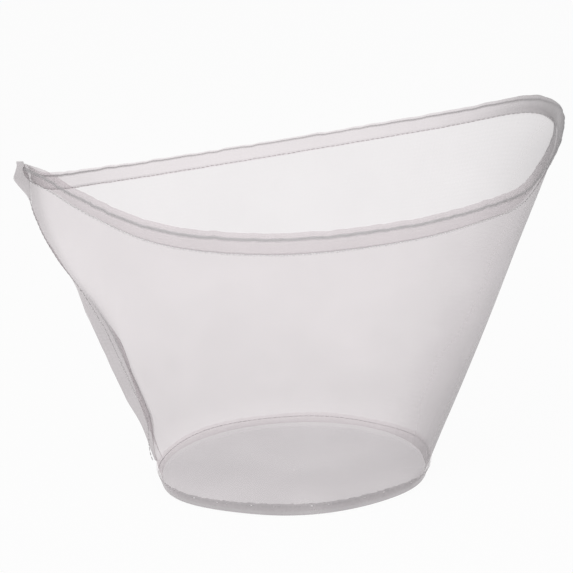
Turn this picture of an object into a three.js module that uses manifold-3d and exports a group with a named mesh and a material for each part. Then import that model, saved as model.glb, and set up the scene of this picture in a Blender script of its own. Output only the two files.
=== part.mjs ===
// A nut milk bag of fine nylon mesh, standing open on its round base.
//
// The wall is one panel wrapped round and closed by a single side seam, whose allowance stands
// out at the bag's left end. The panel's top edge is folded inwards into a puffed hem round the
// mouth. The base is a disc whose edge turns up outside the wall's foot and is sewn to it.
//
// Millimetres, +Z up. The origin is the middle of the base, on the surface that the bag stands
// on. +X runs along the mouth, away from the side seam, and +Y to the mouth's higher back side.

import * as THREE from 'three';
import { mergeVertices } from 'three/addons/utils/BufferGeometryUtils.js';
import Module from 'manifold-3d';

const wasm = await Module();
wasm.setup();

// Fabric
const FABRIC = 0.6; // one layer, as modelled
const CLEARANCE = 0.3; // air between pieces that touch
const THREAD = 0.5; // sewing thread, as modelled

// Base
const BASE_DIAMETER = 119; // over the turned up edge, at the foot of the wall
const BASE_CORNER = 2; // radius where the base turns up
const BASE_WANDER = 1.8; // how far its outline strays from a circle beside the seam
const LIP_HEIGHT = 6.5; // top of the turned up edge above the floor
const LIP_WAVE = 0.6; // how far the edge's top wanders up and down
const LIP_WAVES = 5;
const LIP_STITCH_DROP = 1.4; // the base stitching runs this far under the edge's top

// Mouth, measured at the middle of the rim
const MOUTH_LENGTH = 251; // along X, from the side seam to the round end
const MOUTH_WIDTH = 141; // along Y
const MOUTH_AHEAD = 16; // the mouth's middle lies this far along X from the base's
const MOUTH_ASIDE = -2.5; // and this far along Y
const RIM_HEIGHT = 131; // the rim's lowest stretch above the floor
const SEAM_CORNER_RISE = 21; // the side seam's corner stands this much higher

// Hem
const HEM_HEIGHT = 8.4; // from the stitching to the top of the fold
const HEM_WANDER = 0.8; // it is this much deeper at the front and shallower at the back
const HEM_BULGE_OUT = 1.1; // the hem's outer face stands this far out of the wall
const HEM_BULGE_IN = 3.4; // and its inner face this far in
const FLAP_END = 0.4; // the folded edge reaches this far below the stitching

// Side seam
const SEAM_BEARING = 160; // degrees from +X, the way that the allowance points
const ALLOWANCE = 7.5; // width of the two edges sewn together
const ALLOWANCE_TOP = 3.2; // its width at the top of the hem
const ALLOWANCE_FOOT = 3.5; // its width where it meets the base
const SEAM_STITCH_IN = 1.5; // the side stitching's distance from the wall
const SEAM_STITCH_STOP = 0.05; // it ends this share of the height below the hem's stitching
const TURN_ASIDE = -84; // degrees that the allowance turns to the back under the hem
const HEM_TOP_SHARE = 1.01; // the allowance stands a little above the rim

// Folds of the wall
const BELLY = 1.6; // how far the wall stands out between the rim and the base
const SEAM_PULL = 6.5; // how far the seam is drawn in under the middle of its height
const SEAM_SWELL = 4.8; // and how far it stands out under the hem
const SEAM_SPREAD = 24; // reach of both round the bag
const CREASE_DEPTH = 1.6; // soft creases beside the seam
const CREASE_SPREAD = 6;

// Shares of the wall's height between which each change along the side seam takes place
const ALLOWANCE_WIDENS = [0.04, 0.24];
const TURNS_AWAY = [0.42, 0.68];
const TURNS_BACK = [0.86, 0.99];
const PULL_STARTS = [0.035, 0.2];
const PULL_ENDS = [0.44, 0.7];
const SWELL_STARTS = [0.56, 0.8];
const SWELL_ENDS = [0.84, 0.98];
const CREASES_START = [0.05, 0.12];
const CREASE_FADE = [-0.04, 0.06]; // round each crease's lower end
const HEM_ENDS_START = [-0.02, 0.02]; // round the hem's stitching

// Fineness of the mesh
const COLUMNS = 84; // steps round the bag
const WALL_ROWS = 8;
const LIP_ROWS = 2;
const SEAM_ROWS = 36;
const THREAD_SIDES = 4;

const DEGREE = Math.PI / 180;
const LAYER_PITCH = FABRIC + CLEARANCE; // middle of one layer to the middle of the next
const FOOT_RADIUS = BASE_DIAMETER / 2 - FABRIC / 2 - LAYER_PITCH; // middle of the wall's fabric
const FOOT_HEIGHT = BASE_CORNER + FABRIC / 2; // the wall's lower edge

// The rim seen from above, from the side seam along the front, round the right end and back.
// Shares of the mouth's half length and half width, and of the seam corner's rise.
const RIM_OUTLINE = [
  [-1.00, 0.36, 1.00],
  [-0.957, 0.19, 0.91],
  [-0.897, -0.075, 0.69],
  [-0.70, -0.53, 0.23],
  [-0.34, -0.875, 0.01],
  [0.155, -1.00, 0.02],
  [0.44, -0.915, 0.10],
  [0.602, -0.748, 0.09],
  [0.797, -0.36, 0.27],
  [0.938, -0.012, 0.54],
  [1.008, 0.30, 0.72],
  [0.973, 0.54, 0.75],
  [0.665, 0.842, 0.40],
  [-0.007, 0.998, 0.15],
  [-0.655, 0.78, 0.32],
  [-0.93, 0.43, 0.72],
  [-1.00, 0.36, 1.00],
];

const rimCurve = new THREE.CatmullRomCurve3(
  RIM_OUTLINE.map(([along, across, rise]) => new THREE.Vector3(
    MOUTH_AHEAD + (along * MOUTH_LENGTH) / 2,
    MOUTH_ASIDE + (across * MOUTH_WIDTH) / 2,
    RIM_HEIGHT + rise * SEAM_CORNER_RISE,
  )),
  false,
  'centripetal',
);
rimCurve.arcLengthDivisions = 1200;
const RIM_LENGTH = rimCurve.getLength();

// The creases beside the seam, each from its upper end to its bend and its lower end: distance
// round the bag from the seam, measured at the rim, and share of the height.
const CREASES = [
  [[8, 0.52], [12, 0.43], [26, 0.33]],
  [[4, 0.44], [17, 0.22], [59, 0.02]],
];

// A smooth step from 0 to 1 between two values, which may be measured from a place.
const ease = ([from, to], value, place = 0) => (
  THREE.MathUtils.smoothstep(value, place + from, place + to));

// A bell of height 1 round 0.
const bell = (distance, spread) => Math.exp(-((distance / spread) ** 2));

const TURN = 2 * Math.PI;
const footAngle = (round) => SEAM_BEARING * DEGREE + round * TURN;

// The level way out of the bag, at the foot and at the rim.
function footOut(round) {
  return new THREE.Vector3(Math.cos(footAngle(round)), Math.sin(footAngle(round)), 0);
}

const outOf = (along) => new THREE.Vector3(along.y, -along.x, 0).normalize();

function rimOut(round) {
  if (round > 0 && round < 1) return outOf(rimCurve.getTangentAt(round));
  return outOf(rimCurve.getTangentAt(0)).add(outOf(rimCurve.getTangentAt(1))).normalize();
}

// How much further an offset has to go at the seam's sharp corner.
const CORNER_MITRE = 1 / outOf(rimCurve.getTangentAt(0)).dot(rimOut(0));
const mitre = (round) => (round > 0 && round < 1 ? 1 : CORNER_MITRE);

// Share round the bag from the seam, positive along the front.
const fromSeam = (round) => (round > 0.5 ? round - 1 : round);

// How far the wall hangs in at a place.
function drawnIn(round, height) {
  const across = fromSeam(round) * RIM_LENGTH;
  const belly = BELLY * Math.sin(Math.PI * height);
  const seam = SEAM_PULL * ease(PULL_STARTS, height) * (1 - ease(PULL_ENDS, height))
    - SEAM_SWELL * ease(SWELL_STARTS, height) * (1 - ease(SWELL_ENDS, height));
  let creases = 0;
  for (const [top, bend, foot] of CREASES) {
    const [above, below] = height > bend[1] ? [top, bend] : [bend, foot];
    const centre = THREE.MathUtils.mapLinear(height, above[1], below[1], above[0], below[0]);
    const fade = ease(CREASE_FADE, height, foot[1]) * (1 - ease([bend[1], top[1]], height));
    creases += CREASE_DEPTH * fade * bell(across - centre, CREASE_SPREAD);
  }
  return seam * bell(across, SEAM_SPREAD) + creases * ease(CREASES_START, height) - belly;
}

// The base strays out beside the seam, in further along the front, and out again before the
// right end: degrees from the seam, and share of the wander.
const BASE_STRAYS = [[30, 1.3], [66, -0.7], [152, 1.1]];
const STRAY_SPREAD = 20; // degrees

function footRadius(round) {
  const turn = (fromSeam(round) * TURN) / DEGREE;
  const strays = BASE_STRAYS.map(([at, share]) => share * bell(turn - at, STRAY_SPREAD));
  return FOOT_RADIUS + BASE_WANDER * strays.reduce((sum, stray) => sum + stray, 0);
}

const footPoint = (round) => footOut(round).multiplyScalar(footRadius(round)).setZ(FOOT_HEIGHT);

const rimPoint = (round) => rimCurve.getPointAt(round);

// The middle of the wall's fabric: share round the bag, and share of the way up to the rim.
function wallPoint(round, height) {
  const out = footOut(round).lerp(rimOut(round), height).normalize();
  return footPoint(round).lerp(rimPoint(round), height)
    .addScaledVector(out, -drawnIn(round, height));
}

const slant = (round) => rimPoint(round).distanceTo(footPoint(round));
const hemHeight = (round) => HEM_HEIGHT + HEM_WANDER * Math.sin(round * TURN);
const stitchHeight = (round) => 1 - hemHeight(round) / slant(round);

// The hem's fabric, from the stitching up the outside, over the fold and down the inside:
// distance out of the wall, and share of the hem's height above the stitching.
const HEM_PATH = [
  [0.55 * HEM_BULGE_OUT, 0.2],
  [HEM_BULGE_OUT, 0.45],
  [0.8 * HEM_BULGE_OUT, 0.72],
  [0, 0.87],
  [-0.4 * HEM_BULGE_IN, 0.98],
  [-0.8 * HEM_BULGE_IN, 0.96],
  [-HEM_BULGE_IN, 0.72],
  [-0.9 * HEM_BULGE_IN, 0.38],
  [-LAYER_PITCH, 0.05],
  [-LAYER_PITCH, -FLAP_END / HEM_HEIGHT],
];

// The way up the wall at the rim, and the way out that is square to it.
function rimFrame(round) {
  const up = rimPoint(round).sub(footPoint(round)).normalize();
  const out = rimOut(round);
  out.addScaledVector(up, -out.dot(up)).normalize();
  return { up, out };
}

function hemPoint(round, [outward, share]) {
  const { up, out } = rimFrame(round);
  return wallPoint(round, stitchHeight(round))
    .addScaledVector(up, share * hemHeight(round))
    .addScaledVector(out, outward * mitre(round));
}

// How far up the wall a height above the floor is.
const shareAt = (round, height) => (height - FOOT_HEIGHT) / (rimPoint(round).z - FOOT_HEIGHT);

// One column of the wall panel: up through the lap with the base, up the wall, and round the hem.
function wallColumn(round) {
  const lapTop = shareAt(round, LIP_HEIGHT + LIP_WAVE);
  const rows = [wallPoint(round, 0)];
  for (let row = 0; row <= WALL_ROWS; row += 1) {
    rows.push(wallPoint(round, THREE.MathUtils.lerp(lapTop, stitchHeight(round), row / WALL_ROWS)));
  }
  return rows.concat(HEM_PATH.map((place) => hemPoint(round, place)));
}

// The way out of a sheet at one of its points, from the points round it.
function sheetOut(columns, column, row) {
  const count = columns.length;
  const rows = columns[column];
  const before = columns[(column + count - 1) % count][row];
  const after = columns[(column + 1) % count][row];
  const along = after.clone().sub(before);
  const up = rows[Math.min(row + 1, rows.length - 1)].clone().sub(rows[Math.max(row - 1, 0)]);
  return along.cross(up).normalize();
}

// A closed mesh from a list of points and a list of triangles.
function meshGeometry(points, triangles) {
  const geometry = new THREE.BufferGeometry();
  geometry.setAttribute('position', new THREE.Float32BufferAttribute(
    points.flatMap((point) => point.toArray()), 3));
  geometry.setIndex(triangles);
  return geometry;
}

// Triangles of a band between two rows of points, joined end to end if they are loops.
function bandTriangles(first, second, length, looped = true) {
  const triangles = [];
  for (let here = 0; here < length - (looped ? 0 : 1); here += 1) {
    const next = (here + 1) % length;
    triangles.push(first + here, second + here, second + next);
    triangles.push(first + here, second + next, first + next);
  }
  return triangles;
}

// The section of a sheet at one column: up its outer face, then down its inner face.
function sheetSection(rows, outs) {
  const face = (side) => rows.map((point, row) => (
    point.clone().addScaledVector(outs[row], (side * FABRIC) / 2)));
  return [...face(1), ...face(-1).reverse()];
}

// A tube with sections along it. A closed tube joins its last section to its first, and an
// open one has flat ends.
function tubeGeometry(sections, closed) {
  const sides = sections[0].length;
  const points = sections.flat();
  const triangles = [];
  for (let here = 0; here < sections.length - (closed ? 0 : 1); here += 1) {
    triangles.push(...bandTriangles(here * sides, ((here + 1) % sections.length) * sides, sides));
  }
  if (!closed) {
    const last = (sections.length - 1) * sides;
    for (let side = 1; side < sides - 1; side += 1) {
      triangles.push(0, side, side + 1);
      triangles.push(last, last + side + 1, last + side);
    }
  }
  return meshGeometry(points, triangles);
}

// A thread's section round a point, between two directions across it.
function threadSection(centre, first, second) {
  const section = [];
  for (let side = 0; side < THREAD_SIDES; side += 1) {
    const angle = (side / THREAD_SIDES) * TURN;
    section.push(centre.clone()
      .addScaledVector(first, (Math.cos(angle) * THREAD) / 2)
      .addScaledVector(second, (Math.sin(angle) * THREAD) / 2));
  }
  return section;
}

const roundSteps = Array.from({ length: COLUMNS }, (unused, step) => step / COLUMNS);

// Wall panel

function wallGeometry() {
  const columns = roundSteps.map(wallColumn);
  return tubeGeometry(columns.map((rows, column) => {
    const reach = column === 0 ? CORNER_MITRE : 1;
    return sheetSection(rows, rows.map((point, row) => (
      sheetOut(columns, column, row).multiplyScalar(reach))));
  }), true);
}

// The allowance points out at the hem, turns aside to the back below it, and stands out
// again further down.
function allowanceBearing(height) {
  const aside = ease(TURNS_AWAY, height) * (1 - ease(TURNS_BACK, height));
  return (SEAM_BEARING + TURN_ASIDE * aside) * DEGREE;
}

function allowanceWidth(height) {
  const below = THREE.MathUtils.lerp(ALLOWANCE_FOOT, ALLOWANCE, ease(ALLOWANCE_WIDENS, height));
  const atHem = ease([stitchHeight(0), HEM_TOP_SHARE], height);
  return THREE.MathUtils.lerp(below, ALLOWANCE_TOP, atHem);
}

const SEAM_FOOT_SHARE = shareAt(0, LIP_HEIGHT + LIP_WAVE + THREAD + CLEARANCE);

function allowanceFrame(height) {
  const bearing = allowanceBearing(height);
  const out = new THREE.Vector3(Math.cos(bearing), Math.sin(bearing), 0);
  const across = new THREE.Vector3(-out.y, out.x, 0);
  return { out, across };
}

// Two layers thick, and four where the hem's ends lie in it.
function allowanceThickness(height) {
  const atHem = ease(HEM_ENDS_START, height, stitchHeight(0));
  return 2 * FABRIC * (1 + atHem);
}

const seamHeights = Array.from({ length: SEAM_ROWS + 1 }, (unused, step) => (
  THREE.MathUtils.lerp(SEAM_FOOT_SHARE, HEM_TOP_SHARE, step / SEAM_ROWS)));

function allowanceGeometry() {
  const sections = seamHeights.map((height) => {
    const root = wallPoint(0, height);
    const { out, across } = allowanceFrame(height);
    const half = allowanceThickness(height) / 2;
    const width = allowanceWidth(height);
    const corner = (outward, side) => root.clone()
      .addScaledVector(out, outward).addScaledVector(across, side * half);
    const stops = [0, 2 * SEAM_STITCH_IN, width];
    return [
      ...stops.map((outward) => corner(outward, -1)),
      ...stops.reverse().map((outward) => corner(outward, 1)),
    ];
  });
  return tubeGeometry(sections, false);
}

// Base

function lipTop(round) {
  return LIP_HEIGHT + LIP_WAVE * Math.sin(round * TURN * LIP_WAVES) * Math.cos(round * TURN);
}

// A point of the turned up edge, one layer outside the wall.
function lipPoint(round, height) {
  const point = wallPoint(round, shareAt(round, height));
  const up = wallPoint(round, shareAt(round, height + FABRIC)).sub(point).normalize();
  const out = footOut(round);
  out.addScaledVector(up, -out.dot(up)).normalize();
  return point.addScaledVector(out, LAYER_PITCH);
}

const FLOOR_MIDDLE = FABRIC / 2; // middle of the base's fabric
const FLOOR_RINGS = [0.35, 0.7, 1];
const CORNER_STEPS = [0.3, 0.6, 0.85];

function baseColumn(round) {
  const lipFoot = lipPoint(round, FOOT_HEIGHT);
  const reach = Math.hypot(lipFoot.x, lipFoot.y);
  const edge = reach - BASE_CORNER;
  const floorPoint = (radius) => footOut(round).multiplyScalar(radius).setZ(FLOOR_MIDDLE);
  const rows = FLOOR_RINGS.map((share) => floorPoint(share * edge));
  const corner = new THREE.QuadraticBezierCurve3(floorPoint(edge), floorPoint(reach), lipFoot);
  rows.push(...CORNER_STEPS.map((share) => corner.getPoint(share)), lipFoot);
  for (let row = 1; row <= LIP_ROWS; row += 1) {
    const height = THREE.MathUtils.lerp(lipFoot.z, lipTop(round), row / LIP_ROWS);
    rows.push(lipPoint(round, height));
  }
  return rows;
}

function baseGeometry() {
  const columns = roundSteps.map(baseColumn);
  const down = new THREE.Vector3(0, 0, -1);
  const sections = columns.map((rows, column) => sheetSection(rows, rows.map((point, row) => (
    row < FLOOR_RINGS.length ? down : sheetOut(columns, column, row)))));
  const length = sections[0].length;
  const under = sections.length * length;
  const above = under + 1;
  const points = [...sections.flat(), new THREE.Vector3(), new THREE.Vector3(0, 0, FABRIC)];
  const triangles = sections.flatMap((section, column) => {
    const first = column * length;
    const second = ((column + 1) % sections.length) * length;
    return [
      ...bandTriangles(first, second, length, false),
      under, second, first,
      above, first + length - 1, second + length - 1,
    ];
  });
  return meshGeometry(points, triangles);
}

// Stitching

const THREAD_STANDOFF = FABRIC / 2 + CLEARANCE + THREAD / 2;

function hemStitchGeometry() {
  const clear = (2 * FABRIC + CLEARANCE + THREAD) / RIM_LENGTH;
  const sections = [];
  for (let step = 0; step <= COLUMNS; step += 1) {
    const round = THREE.MathUtils.lerp(clear, 1 - clear, step / COLUMNS);
    const { up, out } = rimFrame(round);
    const centre = wallPoint(round, stitchHeight(round)).addScaledVector(out, THREAD_STANDOFF);
    sections.push(threadSection(centre, out, up));
  }
  return tubeGeometry(sections, false);
}

function sideStitchGeometry() {
  const heights = seamHeights.filter((height) => height < stitchHeight(0) - SEAM_STITCH_STOP);
  const sections = heights.map((height) => {
    const { out, across } = allowanceFrame(height);
    const lift = allowanceThickness(height) / 2 + CLEARANCE + THREAD / 2;
    const centre = wallPoint(0, height)
      .addScaledVector(out, FABRIC + SEAM_STITCH_IN).addScaledVector(across, lift);
    return threadSection(centre, out, across);
  });
  return tubeGeometry(sections, false);
}

function baseStitchGeometry() {
  const up = new THREE.Vector3(0, 0, 1);
  const sections = roundSteps.map((round) => {
    const centre = lipPoint(round, lipTop(round) - LIP_STITCH_DROP)
      .addScaledVector(footOut(round), THREAD_STANDOFF);
    return threadSection(centre, footOut(round), up);
  });
  return tubeGeometry(sections, true);
}

// Solids

const MERGE = 1e-4;

function toSolid(geometry) {
  const merged = mergeVertices(geometry, MERGE);
  const vertProperties = new Float32Array(merged.attributes.position.array);
  const triVerts = new Uint32Array(merged.index.array);
  const solid = new wasm.Manifold(new wasm.Mesh({ numProp: 3, vertProperties, triVerts }));
  if (solid.volume() > 0) return solid;
  for (let first = 0; first < triVerts.length; first += 3) {
    [triVerts[first + 1], triVerts[first + 2]] = [triVerts[first + 2], triVerts[first + 1]];
  }
  return new wasm.Manifold(new wasm.Mesh({ numProp: 3, vertProperties, triVerts }));
}

function toGeometry(solid) {
  const { vertProperties, triVerts } = solid.getMesh();
  const geometry = new THREE.BufferGeometry();
  geometry.setAttribute('position', new THREE.Float32BufferAttribute(vertProperties, 3));
  geometry.setIndex(Array.from(triVerts));
  const flat = geometry.toNonIndexed();
  flat.computeVertexNormals();
  return flat;
}

const group = new THREE.Group();

function addPiece(name, solid, color, roughness) {
  const material = new THREE.MeshStandardMaterial({ color, roughness, metalness: 0 });
  const mesh = new THREE.Mesh(toGeometry(solid), material);
  mesh.name = name;
  group.add(mesh);
}

addPiece('wall_panel', toSolid(wallGeometry()).add(toSolid(allowanceGeometry())), '#e6e2e4', 0.6);
addPiece('base_disc', toSolid(baseGeometry()), '#dcd9db', 0.6);
addPiece('hem_stitching', toSolid(hemStitchGeometry()), '#d6d3d4', 0.5);
addPiece('side_seam_stitching', toSolid(sideStitchGeometry()), '#d6d3d4', 0.5);
addPiece('base_seam_stitching', toSolid(baseStitchGeometry()), '#d6d3d4', 0.5);

export default group;
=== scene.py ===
# %% [markdown]
# # A nut milk bag, dressed over its frame
#
# A nut milk bag is a strainer sewn from very fine nylon mesh. This one stands open on its round
# base. The cloth is so thin that one layer hides only a sixth of what lies behind it, so the
# look comes from how much cloth the eye looks through, and from the hems, seams and stitches.
#
# The frame holds the same bag as solids. It is loaded first.

# %% Load the frame
import math

import bpy
import numpy as np
from mathutils import Matrix, Vector


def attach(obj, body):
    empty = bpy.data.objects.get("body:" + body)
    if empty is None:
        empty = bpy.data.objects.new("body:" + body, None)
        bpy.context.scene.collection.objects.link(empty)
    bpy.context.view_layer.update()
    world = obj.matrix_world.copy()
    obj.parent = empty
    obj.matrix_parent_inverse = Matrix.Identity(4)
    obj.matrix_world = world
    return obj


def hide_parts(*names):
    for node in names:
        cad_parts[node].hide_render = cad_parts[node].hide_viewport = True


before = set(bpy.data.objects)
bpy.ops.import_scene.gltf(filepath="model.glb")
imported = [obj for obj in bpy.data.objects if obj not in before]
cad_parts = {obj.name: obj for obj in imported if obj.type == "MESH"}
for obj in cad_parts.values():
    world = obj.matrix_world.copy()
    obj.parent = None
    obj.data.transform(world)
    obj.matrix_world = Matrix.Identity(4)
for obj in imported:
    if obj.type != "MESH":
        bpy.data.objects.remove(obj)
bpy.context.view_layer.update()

# %% [markdown]
# The bag was measured in millimetres, so its sizes are written in millimetres here too, and
# become metres when a mesh is made. These are the sizes that the solids were built from.

# %% Sizes of the bag
MM = 0.001
FABRIC = 0.6
LAYER_PITCH = 0.9
BASE_DIAMETER = 119
BASE_CORNER = 2
BASE_WANDER = 1.8
LIP_HEIGHT = 6.5
LIP_WAVE = 0.6
LIP_WAVES = 5
LIP_STITCH_DROP = 1.4
MOUTH_LENGTH = 251
MOUTH_WIDTH = 141
MOUTH_AHEAD = 16
MOUTH_ASIDE = -2.5
RIM_HEIGHT = 131
SEAM_CORNER_RISE = 21
HEM_HEIGHT = 8.4
HEM_WANDER = 0.8
HEM_BULGE_OUT = 1.1
HEM_BULGE_IN = 3.4
FLAP_END = 0.4
SEAM_BEARING = 160
ALLOWANCE = 7.5
ALLOWANCE_TOP = 3.2
ALLOWANCE_FOOT = 1.2
TURN_ASIDE = -84
SEAM_STITCH_IN = 1.5
BELLY = 1.6
SEAM_PULL = 6.5
SEAM_SWELL = 4.8
SEAM_SPREAD = 24
CREASE_DEPTH = 1.6
CREASE_SPREAD = 6
FOOT_RADIUS = BASE_DIAMETER / 2 - FABRIC / 2 - LAYER_PITCH
FOOT_HEIGHT = BASE_CORNER + FABRIC / 2
TURN = 2 * math.pi
UP = np.array([0.0, 0.0, 1.0])
print("the base is", BASE_DIAMETER, "mm across, the mouth", MOUTH_LENGTH, "by", MOUTH_WIDTH, "mm")

# %% [markdown]
# The rim is the line that decides everything above the base. It is one smooth curve from the
# side seam along the front, round the right end and back. A centripetal spline through a few
# measured points gives it, because that kind never loops or overshoots between its points.

# %% The rim's curve
RIM_OUTLINE = np.array([
    (-1.00, 0.36, 1.00), (-0.957, 0.19, 0.91), (-0.897, -0.075, 0.69), (-0.70, -0.53, 0.23),
    (-0.34, -0.875, 0.01), (0.155, -1.00, 0.02), (0.44, -0.915, 0.10), (0.602, -0.748, 0.09),
    (0.797, -0.36, 0.27), (0.938, -0.012, 0.54), (1.008, 0.30, 0.72), (0.973, 0.54, 0.75),
    (0.665, 0.842, 0.40), (-0.007, 0.998, 0.15), (-0.655, 0.78, 0.32), (-0.93, 0.43, 0.72),
    (-1.00, 0.36, 1.00),
])
RIM_DIVISIONS = 80


def spline(points, steps):
    """Points along a centripetal Catmull-Rom spline, with its ends carried straight on."""
    ends = [2 * points[0] - points[1], *points, 2 * points[-1] - points[-2]]
    made = []
    for p0, p1, p2, p3 in zip(ends, ends[1:], ends[2:], ends[3:]):
        a, b, c = [math.sqrt(np.linalg.norm(q - p)) for p, q in ((p0, p1), (p1, p2), (p2, p3))]
        first = ((p1 - p0) / a - (p2 - p0) / (a + b) + (p2 - p1) / b) * b
        last = ((p2 - p1) / b - (p3 - p1) / (b + c) + (p3 - p2) / c) * b
        for t in np.arange(steps) / steps:
            made.append(p1 + first * t + (3 * (p2 - p1) - 2 * first - last) * t ** 2
                        + (2 * (p1 - p2) + first + last) * t ** 3)
    return np.array(made + [points[-1]])


RIM = spline(np.stack([
    MOUTH_AHEAD + RIM_OUTLINE[:, 0] * MOUTH_LENGTH / 2,
    MOUTH_ASIDE + RIM_OUTLINE[:, 1] * MOUTH_WIDTH / 2,
    RIM_HEIGHT + RIM_OUTLINE[:, 2] * SEAM_CORNER_RISE,
], axis=1), RIM_DIVISIONS)
RIM_STEPS = np.linalg.norm(np.diff(RIM, axis=0), axis=1)
RIM_LENGTH = RIM_STEPS.sum()
RIM_SHARES = np.concatenate([[0], np.cumsum(RIM_STEPS)]) / RIM_LENGTH
print("rim length", round(RIM_LENGTH, 1), "mm")

# %% [markdown]
# Every place on the wall has two numbers: its share of the way round from the side seam, and
# its share of the way up from the base to the rim. The functions below turn such a pair into a
# point. They work on whole arrays, so one call gives all the points of a sheet. First come the
# ones for the rim and for the foot, which is a circle that strays a little in three places.

# %% The rim and the foot
BASE_STRAYS = [(30, 1.3), (66, -0.7), (152, 1.1)]
STRAY_SPREAD = 20
CORNER_ROUNDING = 0.006


def unit(vectors):
    return vectors / np.linalg.norm(vectors, axis=-1, keepdims=True)


def ease(start, end, value):
    """A smooth step from 0 to 1."""
    share = np.clip((value - start) / (end - start), 0, 1)
    return share * share * (3 - 2 * share)


def bell(distance, spread):
    return np.exp(-((distance / spread) ** 2))


def rim_point(around):
    return np.stack([np.interp(np.mod(around, 1), RIM_SHARES, RIM[:, k]) for k in range(3)], -1)


def rim_out(around):
    """The level way out at the rim, rounded off at the seam's sharp corner."""
    along = rim_point(around + CORNER_ROUNDING) - rim_point(around - CORNER_ROUNDING)
    return unit(np.stack([along[..., 1], -along[..., 0], 0 * along[..., 0]], -1))


def foot_out(around):
    angle = math.radians(SEAM_BEARING) + around * TURN
    return np.stack([np.cos(angle), np.sin(angle), 0 * angle], -1)


def from_seam(around):
    """The share of the way round from the seam, from -0.5 to 0.5."""
    return np.mod(around + 0.5, 1) - 0.5


def foot_point(around):
    turn = from_seam(around) * 360
    stray = sum(share * bell(turn - place, STRAY_SPREAD) for place, share in BASE_STRAYS)
    radius = FOOT_RADIUS + BASE_WANDER * stray
    return foot_out(around) * radius[..., None] + UP * FOOT_HEIGHT


print("the foot is", round(float(foot_point(np.array(0.0))[2]), 1), "mm up at the seam")

# %% [markdown]
# The side seam pulls at the cloth beside it. It draws the wall in below the middle, lets it
# swell under the mouth, and pulls two soft creases into the cloth. The rest of the wall stands
# out in a slight belly between the foot and the rim. All of this is a distance that each point
# of a straight wall is moved in or out. A number pair such as `PULL_STARTS` is where a change
# begins and where it is complete, as shares of the wall's height.

# %% The wall between them
PULL_STARTS = (0.035, 0.2)
PULL_ENDS = (0.44, 0.7)
SWELL_STARTS = (0.56, 0.8)
SWELL_ENDS = (0.84, 0.98)
# Each crease has a top, a bend and a foot: millimetres from the seam, and share of the height.
CREASES = [((8, 0.52), (12, 0.43), (26, 0.33)), ((4, 0.44), (17, 0.22), (59, 0.02))]
CREASE_FADES = (-0.04, 0.06)
CREASES_START = (0.05, 0.12)


def creased(around, height, spread):
    """From 0 to about 1 at the creases beside the seam."""
    across = from_seam(around) * RIM_LENGTH
    creases = 0
    for top, bend, foot in CREASES:
        centre = np.interp(height, [foot[1], bend[1], top[1]], [foot[0], bend[0], top[0]])
        fade = (ease(foot[1] + CREASE_FADES[0], foot[1] + CREASE_FADES[1], height)
                * (1 - ease(bend[1], top[1], height)))
        creases = creases + fade * bell(across - centre, spread)
    return creases * ease(*CREASES_START, height)


def drawn_in(around, height):
    """How far the wall hangs in: the pull of the seam and its creases, less the belly."""
    seam = (SEAM_PULL * ease(*PULL_STARTS, height) * (1 - ease(*PULL_ENDS, height))
            - SEAM_SWELL * ease(*SWELL_STARTS, height) * (1 - ease(*SWELL_ENDS, height)))
    return (seam * bell(from_seam(around) * RIM_LENGTH, SEAM_SPREAD)
            + CREASE_DEPTH * creased(around, height, CREASE_SPREAD)
            - BELLY * np.sin(math.pi * height))


def wall_point(around, height):
    around, height = np.broadcast_arrays(np.asarray(around, float), np.asarray(height, float))
    share = height[..., None]
    out = unit(foot_out(around) * (1 - share) + rim_out(around) * share)
    along = foot_point(around) * (1 - share) + rim_point(around) * share
    return along - out * drawn_in(around, height)[..., None]


def square_to(vectors, along):
    return unit(vectors - along * np.sum(vectors * along, -1, keepdims=True))


def rim_frame(around):
    """The way up the wall at the rim, and the way out that is square to it."""
    up = unit(rim_point(around) - foot_point(around))
    return up, square_to(rim_out(around), up)


def slant(around):
    """The wall's length from foot to rim."""
    return np.linalg.norm(rim_point(around) - foot_point(around), axis=-1)


def hem_height(around):
    return HEM_HEIGHT + HEM_WANDER * np.sin(around * TURN)


def stitch_height(around):
    """The share of the way up at which the hem is sewn."""
    return 1 - hem_height(around) / slant(around)


def share_at(around, height):
    """The share of the way up at a height in millimetres above the floor."""
    return (height - FOOT_HEIGHT) / (rim_point(around)[..., 2] - FOOT_HEIGHT)


print("wall is", np.round([slant(np.array(s)) for s in (0.0, 0.25, 0.5, 0.75)], 1), "mm up")

# %% [markdown]
# Thin cloth is never quite even. A handful of sines of odd lengths, added up, gives a wander
# that looks unplanned but comes out the same each time, with nothing random in it.

# %% A wander for edges and folds


PHASE_STEP = 1.7


def wander(place, lengths, phase=0.0):
    """A sum of sines, from about -1 to 1, over places in millimetres."""
    waves = [np.sin(place * TURN / length + phase + PHASE_STEP * k)
             for k, length in enumerate(lengths)]
    return sum(waves) / len(waves)


def around_lengths(turns):
    """Wave lengths that close up round the rim, from counts of waves."""
    return [RIM_LENGTH / count for count in turns]


# %% [markdown]
# A sheet is a grid of points. `sheet_object` makes one from its columns, joins the last column
# to the first where the sheet closes into a ring, and writes two things that the material
# reads: a UV map in metres along and up the cloth, so that the weave has its real size
# everywhere, and the cloth's density at each point, counted in layers of flat cloth, which in
# places also carries painted shade and painted light. A modifier could add a thickness, but
# cloth as thin as this shows none.

# %% Make a sheet from a grid


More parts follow.
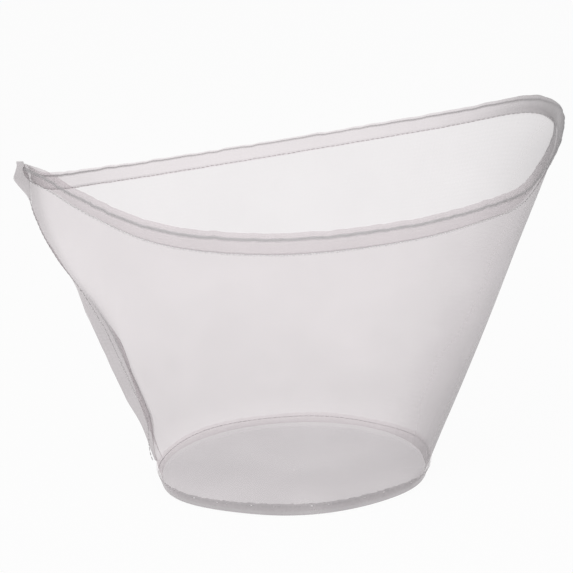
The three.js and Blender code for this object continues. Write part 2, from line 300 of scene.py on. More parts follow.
def sheet_object(name, grid, layers_and_shade, looped, uv_step):
    columns, rows = grid.shape[:2]
    points = (grid * MM).reshape(-1, 3)
    faces = []
    uvs = []
    up_steps = np.linalg.norm(np.diff(grid.mean(axis=0), axis=0), axis=1)
    ups = np.concatenate([[0], np.cumsum(up_steps)]) * MM
    for column in range(columns if looped else columns - 1):
        beside = (column + 1) % columns
        for row in range(rows - 1):
            faces.append((column * rows + row, beside * rows + row,
                          beside * rows + row + 1, column * rows + row + 1))
            left, right = column * uv_step * MM, (column + 1) * uv_step * MM
            uvs += [(left, ups[row]), (right, ups[row]),
                    (right, ups[row + 1]), (left, ups[row + 1])]
    mesh = bpy.data.meshes.new(name)
    mesh.from_pydata(points.tolist(), [], faces)
    mesh.uv_layers.new(name="cloth").data.foreach_set("uv", np.array(uvs).ravel())
    stored = mesh.attributes.new("layers_and_shade", "FLOAT", "POINT")
    stored.data.foreach_set("value", np.broadcast_to(layers_and_shade, (columns, rows)).ravel())
    mesh.update()
    mesh.shade_smooth()
    made = bpy.data.objects.new(name, mesh)
    bpy.context.collection.objects.link(made)
    print(name, len(faces), "quads")
    return made


# %% [markdown]
# The wall is one panel. A cloth simulation could drape it, but the bag's standing shape was
# measured, so the points are placed on that shape. Three kinds of small folds are then added:
# puckers under the hem, where the needle pulls the cloth in, ripples at the foot, where the
# panel is eased to the base, and long faint waves in the free cloth between.

# %% The wall up to the hem
WALL_COLUMNS = 480
WALL_ROWS = 64
PUCKER = 0.32
PUCKER_TURNS = (61, 83, 107, 149)
HEM_FOLD = 0.5
HEM_FOLD_REACH = 7
FOOT_FOLD = 0.35
FOOT_FOLD_TURNS = (23, 37, 59)
FOOT_FOLD_LEVEL = 8
FOOT_FOLD_REACH = 9
FREE_FOLD = 0.7
FREE_FOLD_TURNS = (5, 8, 13)
FREE_FOLD_LEAN = 40
FREE_STARTS = (0.06, 0.2)
FREE_ENDS = (0.8, 0.97)

around = np.arange(WALL_COLUMNS)[:, None] / WALL_COLUMNS
place = around * RIM_LENGTH
stitch = stitch_height(around)
rise = np.linspace(0, 1, WALL_ROWS)[None, :] * stitch
wall = wall_point(around, rise)
outward = unit(foot_out(around) * (1 - rise[..., None]) + rim_out(around) * rise[..., None])
near_hem = bell((stitch - rise) * slant(around), HEM_FOLD_REACH)
near_foot = bell(rise * slant(around) - FOOT_FOLD_LEVEL, FOOT_FOLD_REACH)
free = ease(*FREE_STARTS, rise) * (1 - ease(*FREE_ENDS, rise))
pucker = wander(place, around_lengths(PUCKER_TURNS))
folds = (HEM_FOLD * PUCKER * near_hem * pucker
         + FOOT_FOLD * near_foot * wander(place, around_lengths(FOOT_FOLD_TURNS), phase=0.6)
         + FREE_FOLD * free * wander(
             place + FREE_FOLD_LEAN * rise, around_lengths(FREE_FOLD_TURNS), phase=2.1))
wall = wall + outward * folds[..., None]
print("wall points", wall.shape[:2])

# %% [markdown]
# Above its stitching the panel puffs out a little, folds over at the rim and comes down inside
# to the same stitching. One path across the hem is swept round the mouth: its first number is
# how far out it stands, in millimetres, and its second is its share of the hem's height. The
# puckers run up the hem, and its top edge rises and dips by less than a millimetre. In the
# sharp corner at the seam the inner side is tucked in, or it would run through itself.

# %% The hem
HEM_PATH = np.array([
    (0.0, 0.0), (0.55 * HEM_BULGE_OUT, 0.2), (HEM_BULGE_OUT, 0.45), (0.8 * HEM_BULGE_OUT, 0.72),
    (0.0, 0.87), (-0.4 * HEM_BULGE_IN, 0.98), (-0.8 * HEM_BULGE_IN, 0.96),
    (-HEM_BULGE_IN, 0.72), (-0.9 * HEM_BULGE_IN, 0.38), (-LAYER_PITCH, 0.05),
    (-LAYER_PITCH, -FLAP_END / HEM_HEIGHT),
])
HEM_PATH_STEPS = 4
TOP_WAVE = 0.35
TOP_WAVE_TURNS = (19, 31, 47, 71)
INSIDE = -1
INNER_PUCKER = 0.6
CORNER_TUCK = 0.45
CORNER_SPREAD = 0.012

hem_path = spline(HEM_PATH, HEM_PATH_STEPS)[1:]
up, out = rim_frame(around)
top_wave = TOP_WAVE * wander(place, around_lengths(TOP_WAVE_TURNS), phase=0.4)
corner_room = 1 - CORNER_TUCK * bell(from_seam(around), CORNER_SPREAD)
puff = hem_path[None, :, 0]
puff = np.where(puff < INSIDE, corner_room, 1.0) * puff
share = hem_path[None, :, 1]
level = share * (hem_height(around) + top_wave)
swing = puff + PUCKER * pucker * np.clip(share, 0, 1) * np.where(puff > INSIDE, 1.0, INNER_PUCKER)
hem = wall[:, -1:, :] + up * level[..., None] + out * swing[..., None]
wall_grid = np.concatenate([wall, hem], axis=1)
print("wall and hem points", wall_grid.shape[:2])

# %% [markdown]
# Fine mesh looks denser where it is bunched, creased or rolled over, and where it curves away
# from the eye. A material could work that out from the view, but then the cloth would change
# as the camera moves. So each point stores a matched density, counted in layers of flat cloth.
# It isn't a true count, and in places it paints shade and light. It is high on the hem's
# rolled edge, where its dark line just under the fold is partly painted shade, and at the seam.
# In the creases it is painted shade. At the far end from the seam it is partly an old fold and
# partly painted shade, where the cloth faces away from the lamp. The hem is given less at the
# back, where the eye looks into the mouth and the inside of the hem faces the lamp, so there
# it is partly painted light. It is a little higher near the foot too.

# %% The wall's density
# The far end, away from the seam. Its extra density is partly an old fold in the cloth and partly
# painted shade, where the cloth there faces away from the lamp.
FAR_END = 0.5
BACK = 0.77
BACK_SPREAD = 0.17
# The hem's density across its height, at the front and at the back. The peak just under the top
# fold is a dark line, partly a dense edge inside the hem and partly painted shade. The lower
# numbers at the back are partly painted light, where the inside of the hem faces the lamp.
HEM_SHARES = (0, 0.04, 0.27, 0.32, 0.37, 0.45, 1)
HEM_AT_FRONT = (5, 1.3, 1.1, 16, 1.8, 0.8, 0.8)
HEM_AT_BACK = (2, 1.0, 0.9, 8, 1.2, 0.5, 0.5)
# Extra layers: how many, and where round the bag their middle and their spread are. At the far
# end they are partly painted shade.
DENSER_AND_SHADED_ALL_THE_WAY_UP = [(3.4, FAR_END, 0.065), (0.9, FAR_END, 0.16), (1.2, 0, 0.01)]
DENSER_AND_SHADED_IN_THE_HEM = [(0.6, 0.03, 0.06), (3.6, FAR_END + 0.03, 0.045)]
DENSER_AT_THE_SEAM = [(2.6, 0, 0.022)]
SEAM_DENSE_STARTS = (0.05, 0.2)
SEAM_DENSE_ENDS = (0.4, 0.7)
FOOT_DENSE = 0.5
FOOT_DENSE_STARTS = (0.03, 0.12)
FOOT_DENSE_ENDS = (0.12, 0.6)
# Extra density along the creases darkens them: this is painted shade in the creases.
CREASE_SHADE = 1.6
CREASE_SHADE_SPREAD = 2.2


def denser(spots):
    return sum(extra * bell(from_seam(around - middle), spread)
               for extra, middle, spread in spots)


hem_rows = wall_grid.shape[1] - WALL_ROWS
hem_share = np.arange(hem_rows) / hem_rows
at_back = bell(from_seam(around - BACK), BACK_SPREAD)
wall_layers_and_shade = np.ones(wall_grid.shape[:2])
wall_layers_and_shade[:, WALL_ROWS:] = (np.interp(hem_share, HEM_SHARES, HEM_AT_FRONT) * (1 - at_back)
                              + np.interp(hem_share, HEM_SHARES, HEM_AT_BACK) * at_back)
wall_layers_and_shade[:, WALL_ROWS:] += denser(DENSER_AND_SHADED_IN_THE_HEM)
wall_layers_and_shade[:, :WALL_ROWS] += (
    FOOT_DENSE * ease(*FOOT_DENSE_STARTS, rise) * (1 - ease(*FOOT_DENSE_ENDS, rise))
    + denser(DENSER_AT_THE_SEAM)
    * ease(*SEAM_DENSE_STARTS, rise) * (1 - ease(*SEAM_DENSE_ENDS, rise))
    + CREASE_SHADE * creased(around, rise, CREASE_SHADE_SPREAD))
wall_layers_and_shade += denser(DENSER_AND_SHADED_ALL_THE_WAY_UP)
print("density from", round(wall_layers_and_shade.min(), 2), "to", round(wall_layers_and_shade.max(), 2), "layers_and_shade")

# %% Wall panel
wall_cloth = sheet_object("wall_cloth", wall_grid, wall_layers_and_shade, True, RIM_LENGTH / WALL_COLUMNS)
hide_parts("wall_panel")
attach(wall_cloth, "root")

# %% [markdown]
# At the left end the panel's two edges are sewn together and stand out of the bag as a narrow
# double strip. It turns aside under the hem, where the corner of the mouth pulls it round. It
# could be a ribbon of even width, but raw edges are seldom even: here the two layers lie a
# little apart, and their edges flutter and aren't quite straight.

# %% Which way the allowance stands, and how wide it is
AT_SEAM = np.array(0.0)
ABOVE_LIP = 0.8
SEAM_FOOT_SHARE = float(share_at(AT_SEAM, LIP_HEIGHT + LIP_WAVE + ABOVE_LIP))
SEAM_STITCH_SHARE = float(stitch_height(AT_SEAM))
SEAM_TOP_SHARE = 1.01
TURNS_AWAY = (0.42, 0.68)
TURNS_BACK = (0.86, 0.99)
WIDENS = (0.04, 0.24)


def allowance_frame(height):
    """The way that the strip stands out, and the way across it."""
    aside = ease(*TURNS_AWAY, height) * (1 - ease(*TURNS_BACK, height))
    bearing = np.radians(SEAM_BEARING + TURN_ASIDE * aside)
    out_way = np.stack([np.cos(bearing), np.sin(bearing), 0 * bearing], -1)
    return out_way, np.stack([-out_way[..., 1], out_way[..., 0], 0 * bearing], -1)


def allowance_width(height):
    below = ALLOWANCE_FOOT + (ALLOWANCE - ALLOWANCE_FOOT) * ease(*WIDENS, height)
    top = ease(SEAM_STITCH_SHARE, SEAM_TOP_SHARE, height)
    return below + (ALLOWANCE_TOP - below) * top


print("the allowance starts", round(SEAM_FOOT_SHARE, 3), "of the way up")

# %% Side seam's allowance
SEAM_ROWS = 110
SEAM_COLUMNS = 8
RAW_EDGE = 0.03
FLUTTER = 0.35
FLUTTER_POWER = 1.5
LAYERS_APART = 0.12
LAYERS_WANDER = 0.1
APART_AT_HEM = 0.5
SEWN_TOGETHER = 1.5
HEM_BLEND = 0.02
ALLOWANCE_DENSITY = 2.4
DENSER_AT_HEM = 0.4

heights = np.linspace(SEAM_FOOT_SHARE, SEAM_TOP_SHARE, SEAM_ROWS)
root = wall_point(np.zeros(SEAM_ROWS), heights)
out_way, across_way = allowance_frame(heights)
seam_place = heights * slant(AT_SEAM)
at_hem = ease(SEAM_STITCH_SHARE - HEM_BLEND, SEAM_STITCH_SHARE + HEM_BLEND, heights)
strips = []
for side in (-1, 1):
    raw_edge = 1 - RAW_EDGE + RAW_EDGE * wander(seam_place, (9, 14, 31), phase=side)
    width = allowance_width(heights) * raw_edge
    reach = np.linspace(0, 1, SEAM_COLUMNS)[:, None] * width[None, :]
    flutter = (FLUTTER * wander(seam_place, (17, 26, 41), phase=0.8)
               * (reach / ALLOWANCE) ** FLUTTER_POWER)
    apart = side * (LAYERS_APART + APART_AT_HEM * at_hem
                    + LAYERS_WANDER * np.abs(wander(seam_place, (11, 19), phase=side)))
    apart = apart * np.clip(reach / SEWN_TOGETHER, 0, 1)
    strips.append(root[None] + out_way[None] * reach[..., None]
                  + across_way[None] * (flutter + apart)[..., None])
allowance_grid = np.concatenate([strips[0][::-1], strips[1][1:]], axis=0)
allowance_layers = np.broadcast_to(
    ALLOWANCE_DENSITY + DENSER_AT_HEM * at_hem, allowance_grid.shape[:2])
seam_allowance = sheet_object(
    "seam_allowance", allowance_grid, allowance_layers, False, ALLOWANCE / SEAM_COLUMNS)
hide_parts("wall_panel")
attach(seam_allowance, "root")

# %% [markdown]
# The base is a round piece whose edge is turned up outside the wall and sewn to it. More cloth
# is turned up than the wall is long, so it gathers into small pleats, and its raw edge waves up
# and down. The gathers are bunched along the front, where they make the edge denser. The flat
# part lies on the floor with hardly a ripple. It could be a disc with an extruded edge, but a
# grid of rings lets every pleat run from the flat part into the edge.

# %% The turned up edge's shape

def lip_top(spot):
    return LIP_HEIGHT + LIP_WAVE * np.sin(spot * TURN * LIP_WAVES) * np.cos(spot * TURN)


def lip_point(spot, height):
    point = wall_point(spot, share_at(spot, height))
    rise_way = unit(wall_point(spot, share_at(spot, height + FABRIC)) - point)
    return point + square_to(foot_out(spot), rise_way) * LAYER_PITCH


BASE_COLUMNS = 360
BASE_GIRTH = math.pi * BASE_DIAMETER
PLEAT_TURNS = (29, 43, 67, 97)
FRONT_BEARING = math.radians(-110)
BUNCHES = (-0.1, 0.8)
base_around = np.arange(BASE_COLUMNS)[:, None] / BASE_COLUMNS
base_place = base_around * BASE_GIRTH
pleat_lengths = [BASE_GIRTH / count for count in PLEAT_TURNS]
pleats = wander(base_place, pleat_lengths, phase=0.9)
way = foot_out(base_around)
front = np.array([math.cos(FRONT_BEARING), math.sin(FRONT_BEARING), 0])
bunched = ease(*BUNCHES, way @ front)
print(len(PLEAT_TURNS), "sizes of pleat round", round(BASE_GIRTH), "mm")

# %% The base's rings, from its middle to its raw edge
FLOOR_STEPS = 14
CORNER_STEPS = 7
LIP_STEPS = 10
MIDDLE_HOLE = 0.004
RIPPLE = 0.12
RIPPLE_POWER = 6
RAW_LIP = 0.35
PLEAT_DEPTH = 0.55
LIP_STANDS_OFF = 0.3
lip_foot = lip_point(base_around, np.full_like(base_around, FOOT_HEIGHT))
rim_radius = np.linalg.norm(lip_foot[..., :2], axis=-1)
edge = rim_radius - BASE_CORNER
floor_share = np.linspace(MIDDLE_HOLE, 1, FLOOR_STEPS)[None, :]
floor_level = FABRIC / 2 + RIPPLE * (1 + pleats) * floor_share ** RIPPLE_POWER
floor_part = way * (floor_share * edge)[..., None] + UP * floor_level[..., None]
bend = (np.arange(1, CORNER_STEPS) / CORNER_STEPS)[None, :, None]
corner_part = (way * edge[..., None] * (1 - bend) ** 2
               + way * rim_radius[..., None] * 2 * bend * (1 - bend)
               + UP * FABRIC / 2 * (1 - bend ** 2) + lip_foot * bend ** 2)
lip_share = np.linspace(0, 1, LIP_STEPS)[None, :]
ragged = RAW_LIP * wander(base_place, [length / 2 for length in pleat_lengths], phase=0.2)
lip_level = FOOT_HEIGHT + (lip_top(base_around) + ragged - FOOT_HEIGHT) * lip_share
stands_off = (PLEAT_DEPTH * pleats * np.sqrt(bunched) + LIP_STANDS_OFF) * lip_share
lip_part = (lip_point(np.broadcast_to(base_around, lip_level.shape), lip_level)
            + way * stands_off[..., None])
base_grid = np.concatenate([floor_part, corner_part, lip_part], axis=1)
print("base points", base_grid.shape[:2])

# %% [markdown]
# A level sheet is seen at a slant, through more thread, so the flat part's density is matched
# to how much it hides from a little above. From there it eases to that of the turned up edge,
# which is thin at the back and dense along the front, where the gathers are bunched.

# %% Base
FLAT_DENSITY = 3.7
LIP_DENSITY = 0.5
GATHERS_DENSER = 4.2
EASES_FROM = FLOOR_STEPS - 2
base_rows = np.arange(base_grid.shape[1])[None, :]
turned_up = ease(EASES_FROM, base_grid.shape[1], base_rows)
base_layers = (FLAT_DENSITY
               + (LIP_DENSITY + GATHERS_DENSER * bunched - FLAT_DENSITY) * turned_up)
base_cloth = sheet_object(
    "base_cloth", base_grid, base_layers, True, BASE_GIRTH / BASE_COLUMNS)
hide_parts("base_disc")
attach(base_cloth, "root")

# %% [markdown]
# A sewing machine makes a lockstitch: on the outside each stitch is a short piece of thread
# that dives into the cloth at both ends. One stitch is modelled from a cylinder whose ends are
# drawn in and bent down, and each seam then gets a copy of it at every stitch length.

# %% One stitch
STITCH_PITCH = 2.4
STITCH_LENGTH = 1.9
THREAD = 0.42
STITCH_SIDES = 6
STITCH_CUTS = (-0.3, 0.0, 0.3)
END_THINNER = 0.45
END_DIP = 0.5
END_POWER = 3


def model_stitch():
    bpy.ops.object.select_all(action="DESELECT")
    bpy.ops.mesh.primitive_cylinder_add(
        vertices=STITCH_SIDES, radius=THREAD / 2 * MM, depth=STITCH_LENGTH * MM,
        end_fill_type="TRIFAN", rotation=(0, math.pi / 2, 0))
    made = bpy.context.object
    bpy.ops.object.transform_apply(location=False, rotation=True, scale=True)
    bpy.ops.object.mode_set(mode="EDIT")
    for cut in STITCH_CUTS:
        bpy.ops.mesh.select_all(action="SELECT")
        bpy.ops.mesh.bisect(plane_co=(cut * STITCH_LENGTH * MM, 0, 0), plane_no=(1, 0, 0))
    bpy.ops.object.mode_set(mode="OBJECT")
    for vertex in made.data.vertices:
        at_end = (abs(vertex.co.x) / (STITCH_LENGTH / 2 * MM)) ** END_POWER
        thin = 1 - END_THINNER * at_end
        vertex.co.y *= thin
        vertex.co.z = vertex.co.z * thin - END_DIP * THREAD * MM * at_end
    return made


one_stitch = model_stitch()
print("one stitch has", len(one_stitch.data.polygons), "faces")

# %% [markdown]
# An array modifier could lay the copies along a curve, but a seam also needs each stitch turned
# out of the cloth. So a row is made from three lists: where the stitches lie, which way the
# seam runs there, and which way is out.

# %% Rows of stitches


def stitch_row(name, centres, alongs, outs, node):
    """Copies of the stitch in one piece, each turned along its seam and out of the cloth."""
    shape = np.array([vertex.co for vertex in one_stitch.data.vertices])
    faces = [tuple(face.vertices) for face in one_stitch.data.polygons]
    points = []
    copies = []
    for count, (centre, along, out_side) in enumerate(zip(centres * MM, alongs, outs)):
        across = np.cross(out_side, along)
        turned = shape @ np.stack([along, across, out_side])
        copies += [tuple(index + count * len(shape) for index in face) for face in faces]
        points += (turned + centre).tolist()
    mesh = bpy.data.meshes.new(name)
    mesh.from_pydata(points, [], copies)
    mesh.update()
    mesh.shade_smooth()
    made = bpy.data.objects.new(name, mesh)
    bpy.context.collection.objects.link(made)
    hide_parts(node)
    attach(made, "root")
    print(name, len(centres), "stitches")
    return made


# %% Hem's stitches
THREAD_LIFT = 0.32
HEM_WOBBLE = 0.12
BESIDE = 0.001
hem_count = int(RIM_LENGTH / STITCH_PITCH)
spots = (np.arange(hem_count) + 0.5) / hem_count
line = wall_point(spots, stitch_height(spots))
along = unit(wall_point(spots + BESIDE, stitch_height(spots + BESIDE))
             - wall_point(spots - BESIDE, stitch_height(spots - BESIDE)))
hem_out = square_to(rim_frame(spots)[1], along)
wobble = HEM_WOBBLE * wander(spots * RIM_LENGTH, (7.3, 11.9, 23.1))
line = line + hem_out * THREAD_LIFT + np.cross(along, hem_out) * wobble[:, None]
hem_stitches = stitch_row("hem_stitches", line, along, hem_out, "hem_stitching")

# %% [markdown]
# No stitches show at the bag's foot, though the base must be sewn on there. So this row lies
# just under the turned up edge, and only a trace of it shows through.

# %% Base's stitches
THREAD_SINK = THREAD_LIFT / 3


def base_seam(spot):
    return lip_point(spot, lip_top(spot) - LIP_STITCH_DROP)


base_count = int(BASE_GIRTH / STITCH_PITCH)
spots = (np.arange(base_count) + 0.5) / base_count
along = unit(base_seam(spots + BESIDE) - base_seam(spots - BESIDE))
lip_out = square_to(foot_out(spots), along)
line = base_seam(spots) - lip_out * THREAD_SINK
base_stitches = stitch_row("base_stitches", line, along, lip_out, "base_seam_stitching")

# %% [markdown]
# The side seam's row bends with the allowance, so it is measured first: its length in
# millimetres at many close points. Equal steps along that length then give even stitches.

# %% Side seam's stitches
SEAM_SAMPLES = 400
BELOW_HEM = 0.05
HALF_STEP = 0.5
SIDE_THREAD_LIFT = 0.1
seam_span = np.linspace(SEAM_FOOT_SHARE, SEAM_STITCH_SHARE - BELOW_HEM, SEAM_SAMPLES)
seam_line = wall_point(np.zeros(SEAM_SAMPLES), seam_span)
seam_out, seam_across = allowance_frame(seam_span)
seam_line = seam_line + seam_out * (FABRIC + SEAM_STITCH_IN)
seam_steps = np.linalg.norm(np.diff(seam_line, axis=0), axis=1)
seam_lengths = np.concatenate([[0], np.cumsum(seam_steps)])
seam_count = int(seam_lengths[-1] / STITCH_PITCH)
places = (np.arange(seam_count) + 0.5) / seam_count * seam_lengths[-1]


def at_places(values, where):
    return np.stack([np.interp(where, seam_lengths, values[:, k]) for k in range(3)], -1)


along = unit(at_places(seam_line, places + HALF_STEP)
             - at_places(seam_line, places - HALF_STEP))
side_out = square_to(unit(at_places(seam_across, places)), along)
line = at_places(seam_line, places) + side_out * SIDE_THREAD_LIFT
side_stitches = stitch_row("side_stitches", line, along, side_out, "side_seam_stitching")
bpy.data.objects.remove(one_stitch)

# %% [markdown]
# Each cloth piece's area is printed. The wall is a panel as long as the rim and its two seam
# edges, and as tall as the wall with the hem laid out flat. It narrows to the base's girth at
# its foot, so its own area is less than that rectangle's.

for piece in (wall_cloth, base_cloth):
    area = sum(face.area for face in piece.data.polygons)
    print(piece.name, "has", round(area, 5), "square metres")

# %% [markdown]
# Colours are picked as they look on a screen, and the shaders work in linear light, so one
# function turns a hex value into linear numbers. One more adds a node with its settings.

# %% Helpers for materials


def linear(hex_value):
    parts = [int(hex_value[k:k + 2], 16) / 255 for k in (1, 3, 5)]
    return [p / 12.92 if p <= 0.04045 else ((p + 0.055) / 1.055) ** 2.4 for p in parts] + [1.0]


def add_node(tree, kind, inputs=None, **settings):
    made = tree.nodes.new(kind)
    for name, value in settings.items():
        setattr(made, name, value)
    for socket, value in (inputs or {}).items():
        if isinstance(value, bpy.types.NodeSocket):
            tree.links.new(value, made.inputs[socket])
        else:
            made.inputs[socket].default_value = value
    return made


def new_material(name):
    material = bpy.data.materials.new(name)
    material.use_nodes = True
    material.node_tree.nodes.clear()
    return material


# %% [markdown]
# Nylon mesh is woven from single clear threads about 0.1 mm thick, with gaps of about the same
# width. From a step away the threads and gaps run together, and the eye sees a milky veil that
# covers a sixth of what lies behind it. The threads are smooth, so the veil has a faint sheen,
# and they scatter light through to the far side. Two layers cover more than one: the share
# that shows through is multiplied for each layer. The weave itself is too fine to show, so its
# cells are drawn 1.8 mm wide, very faintly, and the veil's density drifts a little over a few
# centimetres as the threads lie closer or further apart. What shows through the gaps takes a
# trace of rose from the clear threads beside them, while dense cloth is a plain pale grey.

# %% Woven nylon mesh
THROUGH = 0.845
THROUGH_DRIFT = 0.02
DRIFT_SCALE = 28.0
WEAVE_CELL = 0.0018
WEAVE_CONTRAST = 0.012
# A wave texture of scale 1 repeats at this length.
WAVE_REPEAT = TURN / 20
GAP_TINT = (1.0, 0.975, 0.983, 1.0)
NYLON_IOR = 1.53
GLOW_SHARE = 0.35


def nylon_mesh(name, tint):
    material = new_material(name)
    tree = material.node_tree
    uv = add_node(tree, "ShaderNodeUVMap", uv_map="cloth").outputs["UV"]
    # The stored density is partly painted shade and painted light: in the creases, on the hem's
    # fold line, at the far end and at the back of the hem.
    layers_and_shade = add_node(tree, "ShaderNodeAttribute", attribute_name="layers_and_shade").outputs["Fac"]
    weaves = []
    for direction in ("X", "Y"):
        weaves.append(add_node(
            tree, "ShaderNodeTexWave", {"Vector": uv, "Scale": WAVE_REPEAT / WEAVE_CELL},
            bands_direction=direction, wave_profile="SIN").outputs["Fac"])
    weave = add_node(tree, "ShaderNodeMath", {0: weaves[0], 1: weaves[1]},
                     operation="MULTIPLY").outputs[0]
    place_in = add_node(tree, "ShaderNodeTexCoord").outputs["Object"]
    drift = add_node(tree, "ShaderNodeTexNoise",
                     {"Vector": place_in, "Scale": DRIFT_SCALE, "Detail": 3.0}).outputs["Fac"]
    open_share = add_node(tree, "ShaderNodeMapRange", {
        "Value": drift, "From Min": 0.3, "From Max": 0.7,
        "To Min": THROUGH + THROUGH_DRIFT, "To Max": THROUGH - THROUGH_DRIFT}).outputs[0]
    open_share = add_node(tree, "ShaderNodeMath", {
        0: weave, 1: WEAVE_CONTRAST, 2: open_share}, operation="MULTIPLY_ADD").outputs[0]
    seen_through = add_node(tree, "ShaderNodeMath", {0: open_share, 1: layers_and_shade},
                            operation="POWER").outputs[0]
    cover = add_node(tree, "ShaderNodeMath", {0: 1.0, 1: seen_through},
                     operation="SUBTRACT").outputs[0]
    bump = add_node(tree, "ShaderNodeBump", {
        "Height": weave, "Strength": 0.15, "Distance": 0.0001}).outputs[0]
    threads = add_node(tree, "ShaderNodeBsdfPrincipled", {
        "Base Color": linear(tint), "Roughness": 0.5, "IOR": NYLON_IOR, "Sheen Weight": 0.15,
        "Sheen Roughness": 0.4, "Normal": bump}).outputs[0]
    glow = add_node(tree, "ShaderNodeBsdfTranslucent", {"Color": linear(tint)}).outputs[0]
    cloth = add_node(tree, "ShaderNodeMixShader", {0: GLOW_SHARE, 1: threads, 2: glow}).outputs[0]
    clear = add_node(tree, "ShaderNodeBsdfTransparent", {"Color": GAP_TINT}).outputs[0]
    veil = add_node(tree, "ShaderNodeMixShader", {0: cover, 1: clear, 2: cloth}).outputs[0]
    add_node(tree, "ShaderNodeOutputMaterial", {"Surface": veil})
    return material


wall_mesh = nylon_mesh("woven nylon mesh", "#aeacad")
# The base's copy of the mesh is a little darker: painted shade, for the base lies inside the bag
# under its walls.
base_mesh_shaded = nylon_mesh("woven nylon mesh of the base with painted shade", "#a8a7a8")
print("one layer hides", round(1 - THROUGH, 3), "of what lies behind it")

# %% [markdown]
# The thread is spun polyester: three fine strands twisted round each other. The twist shows as
# slanting light and dark bands along each stitch, drawn in its colour by a wave texture that is
# turned on the slant: painted light on the strands and painted shade in the grooves between
# them. The same wave gives the stitch a bump, and its fibres make it matt.

# %% Spun polyester thread
TWIST_PITCH = 0.0009
TWIST_SLANT = (0.6, 0.5, 0.7)


def sewing_thread(name):
    material = new_material(name)
    tree = material.node_tree
    place_in = add_node(tree, "ShaderNodeTexCoord").outputs["Object"]
    turned = add_node(tree, "ShaderNodeMapping", {
        "Vector": place_in, "Rotation": TWIST_SLANT}).outputs[0]
    twist = add_node(tree, "ShaderNodeTexWave", {
        "Vector": turned, "Scale": WAVE_REPEAT / TWIST_PITCH}).outputs["Fac"]
    # Painted light and shade of the twist: pale on the strands, darker in the grooves.
    twist_light_and_shade = add_node(tree, "ShaderNodeMix", {
        "Factor": twist, "A": linear("#c8c6c7"), "B": linear("#f2f1f1")}, data_type="RGBA")
    bump = add_node(tree, "ShaderNodeBump", {
        "Height": twist, "Strength": 0.4, "Distance": 0.0001}).outputs[0]
    fibres = add_node(tree, "ShaderNodeBsdfPrincipled", {
        "Base Color": twist_light_and_shade.outputs[2], "Roughness": 0.8, "Sheen Weight": 0.1,
        "Normal": bump}).outputs[0]
    add_node(tree, "ShaderNodeOutputMaterial", {"Surface": fibres})
    return material


thread = sewing_thread("spun polyester thread")

# %% Give each piece its material
for piece, material in (
        (wall_cloth, wall_mesh), (seam_allowance, wall_mesh), (base_cloth, base_mesh_shaded),
        (hem_stitches, thread), (base_stitches, thread), (side_stitches, thread)):
    piece.data.materials.append(material)
print("materials", [material.name for material in bpy.data.materials])

# %% [markdown]
# The bag stands on a plain pale floor under a white surround. To the camera, the floor is
# mostly plain white, so that it runs into the background, with a little of its lit self left
# in it, which keeps the bag's shadow. To the light it is an ordinary pale floor.

# %% Floor


def is_seen(tree):
    """1 where a ray comes from the camera or from a mirror or glass that it sees."""
    path = add_node(tree, "ShaderNodeLightPath")
    first = add_node(tree, "ShaderNodeMath", {
        0: path.outputs["Is Camera Ray"], 1: path.outputs["Is Glossy Ray"]},
        operation="MAXIMUM").outputs[0]
    return add_node(tree, "ShaderNodeMath", {
        0: first, 1: path.outputs["Is Transmission Ray"]}, operation="MAXIMUM").outputs[0]


FLOOR_RADIUS = 2.4
FLOOR_WHITE = 0.95
bpy.ops.object.select_all(action="DESELECT")
bpy.ops.mesh.primitive_circle_add(vertices=96, radius=FLOOR_RADIUS, fill_type="NGON")
floor = bpy.context.object
floor.name = "floor"
floor_paint = new_material("white paper floor")
tree = floor_paint.node_tree
paper = add_node(tree, "ShaderNodeBsdfDiffuse", {"Color": linear("#c2c1c1")}).outputs[0]
white = add_node(tree, "ShaderNodeEmission", {"Strength": 1.0}).outputs[0]
share_white = add_node(tree, "ShaderNodeMath", {0: is_seen(tree), 1: FLOOR_WHITE},
                       operation="MULTIPLY").outputs[0]
mixed = add_node(tree, "ShaderNodeMixShader", {0: share_white, 1: paper, 2: white}).outputs[0]
add_node(tree, "ShaderNodeOutputMaterial", {"Surface": mixed})
floor.data.materials.append(floor_paint)
print("the floor is", 2 * FLOOR_RADIUS, "m across")

# %% Surround
SURROUND = 0.42
world = bpy.data.worlds.new("white surround")
bpy.context.scene.world = world
world.use_nodes = True
world.node_tree.nodes.clear()
tree = world.node_tree
strength = add_node(tree, "ShaderNodeMapRange", {
    "Value": is_seen(tree), "To Min": SURROUND, "To Max": 1.0}).outputs[0]
glow = add_node(tree, "ShaderNodeBackground", {"Strength": strength}).outputs[0]
add_node(tree, "ShaderNodeOutputWorld", {"Surface": glow})
print("the surround lights with strength", SURROUND)

# %% [markdown]
# Plain soft studio light comes from one lamp above and in front of the bag, to its left, and
# from the pale surround. A small lamp would draw a hard line between light and shade on such
# thin cloth, so this one is over two metres across.

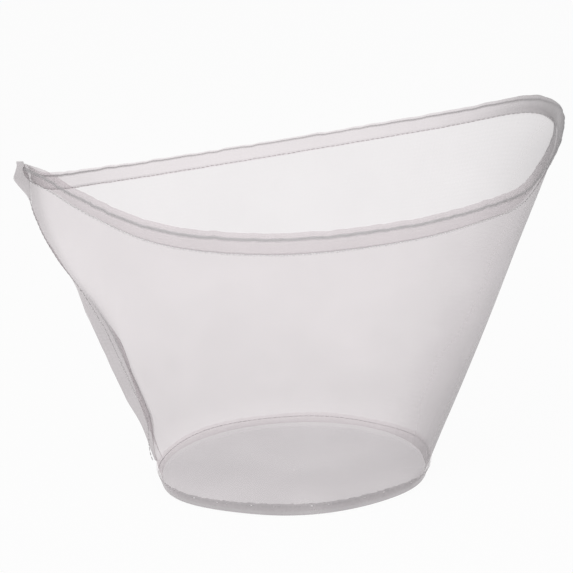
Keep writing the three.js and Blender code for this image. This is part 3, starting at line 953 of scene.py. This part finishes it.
# %% Lamp
LAMP_PLACE = Vector((-0.5, -0.8, 1.6))
LAMP_AIM = Vector((0, 0, 0.08))
LAMP_SIZE = 2.2
LAMP_POWER = 36
lamp_data = bpy.data.lights.new("top lamp", "AREA")
lamp_data.shape = "DISK"
lamp_data.size = LAMP_SIZE
lamp_data.energy = LAMP_POWER
lamp = bpy.data.objects.new("top lamp", lamp_data)
bpy.context.collection.objects.link(lamp)
lamp.location = LAMP_PLACE
lamp.rotation_mode = "QUATERNION"
lamp.rotation_quaternion = (LAMP_AIM - LAMP_PLACE).to_track_quat("-Z", "Y")
print("lamp of", LAMP_SIZE, "m and", LAMP_POWER, "W")

# %% [markdown]
# The camera stands well back with a long lens, as for a catalogue picture. It looks down by
# about 18 degrees from the bag's left front, and is tilted by a hair, which lets the mouth
# rise to the right.

# %% Camera
CAMERA_BACK = 1.8
CAMERA_TURN = -20
CAMERA_RISE = 18
CAMERA_ROLL = -2.5
CAMERA_ROUND = Vector((0, 0, 0.070))
CAMERA_AIM = Vector((0.0002, -0.0001, 0.0865))
LENS = 255.6

turn, lift = math.radians(CAMERA_TURN), math.radians(CAMERA_RISE)
back = Vector((math.sin(turn) * math.cos(lift), -math.cos(turn) * math.cos(lift),
               math.sin(lift)))
camera_data = bpy.data.cameras.new("camera")
camera_data.lens = LENS
camera = bpy.data.objects.new("camera", camera_data)
bpy.context.collection.objects.link(camera)
camera.location = CAMERA_ROUND + back * CAMERA_BACK
look = (CAMERA_AIM - camera.location).to_track_quat("-Z", "Y")
camera.rotation_mode = "QUATERNION"
camera.rotation_quaternion = look @ Matrix.Rotation(
    math.radians(CAMERA_ROLL), 3, "Z").to_quaternion()
bpy.context.scene.camera = camera
print("camera at", [round(value, 3) for value in camera.location])

# %% [markdown]
# The Standard view shows colours as they are written. A line of sight can pass many layers of
# this cloth, one behind another, so a ray may go through more see-through faces than usual.

# %% View and rays
LAYERS_SEEN = 32
scene = bpy.context.scene
scene.view_settings.view_transform = "Standard"
scene.cycles.transparent_max_bounces = LAYERS_SEEN
print("view", scene.view_settings.view_transform)

# %% [markdown]
# Last, the view layer is brought up to date.

# %% Finish
bpy.context.view_layer.update()
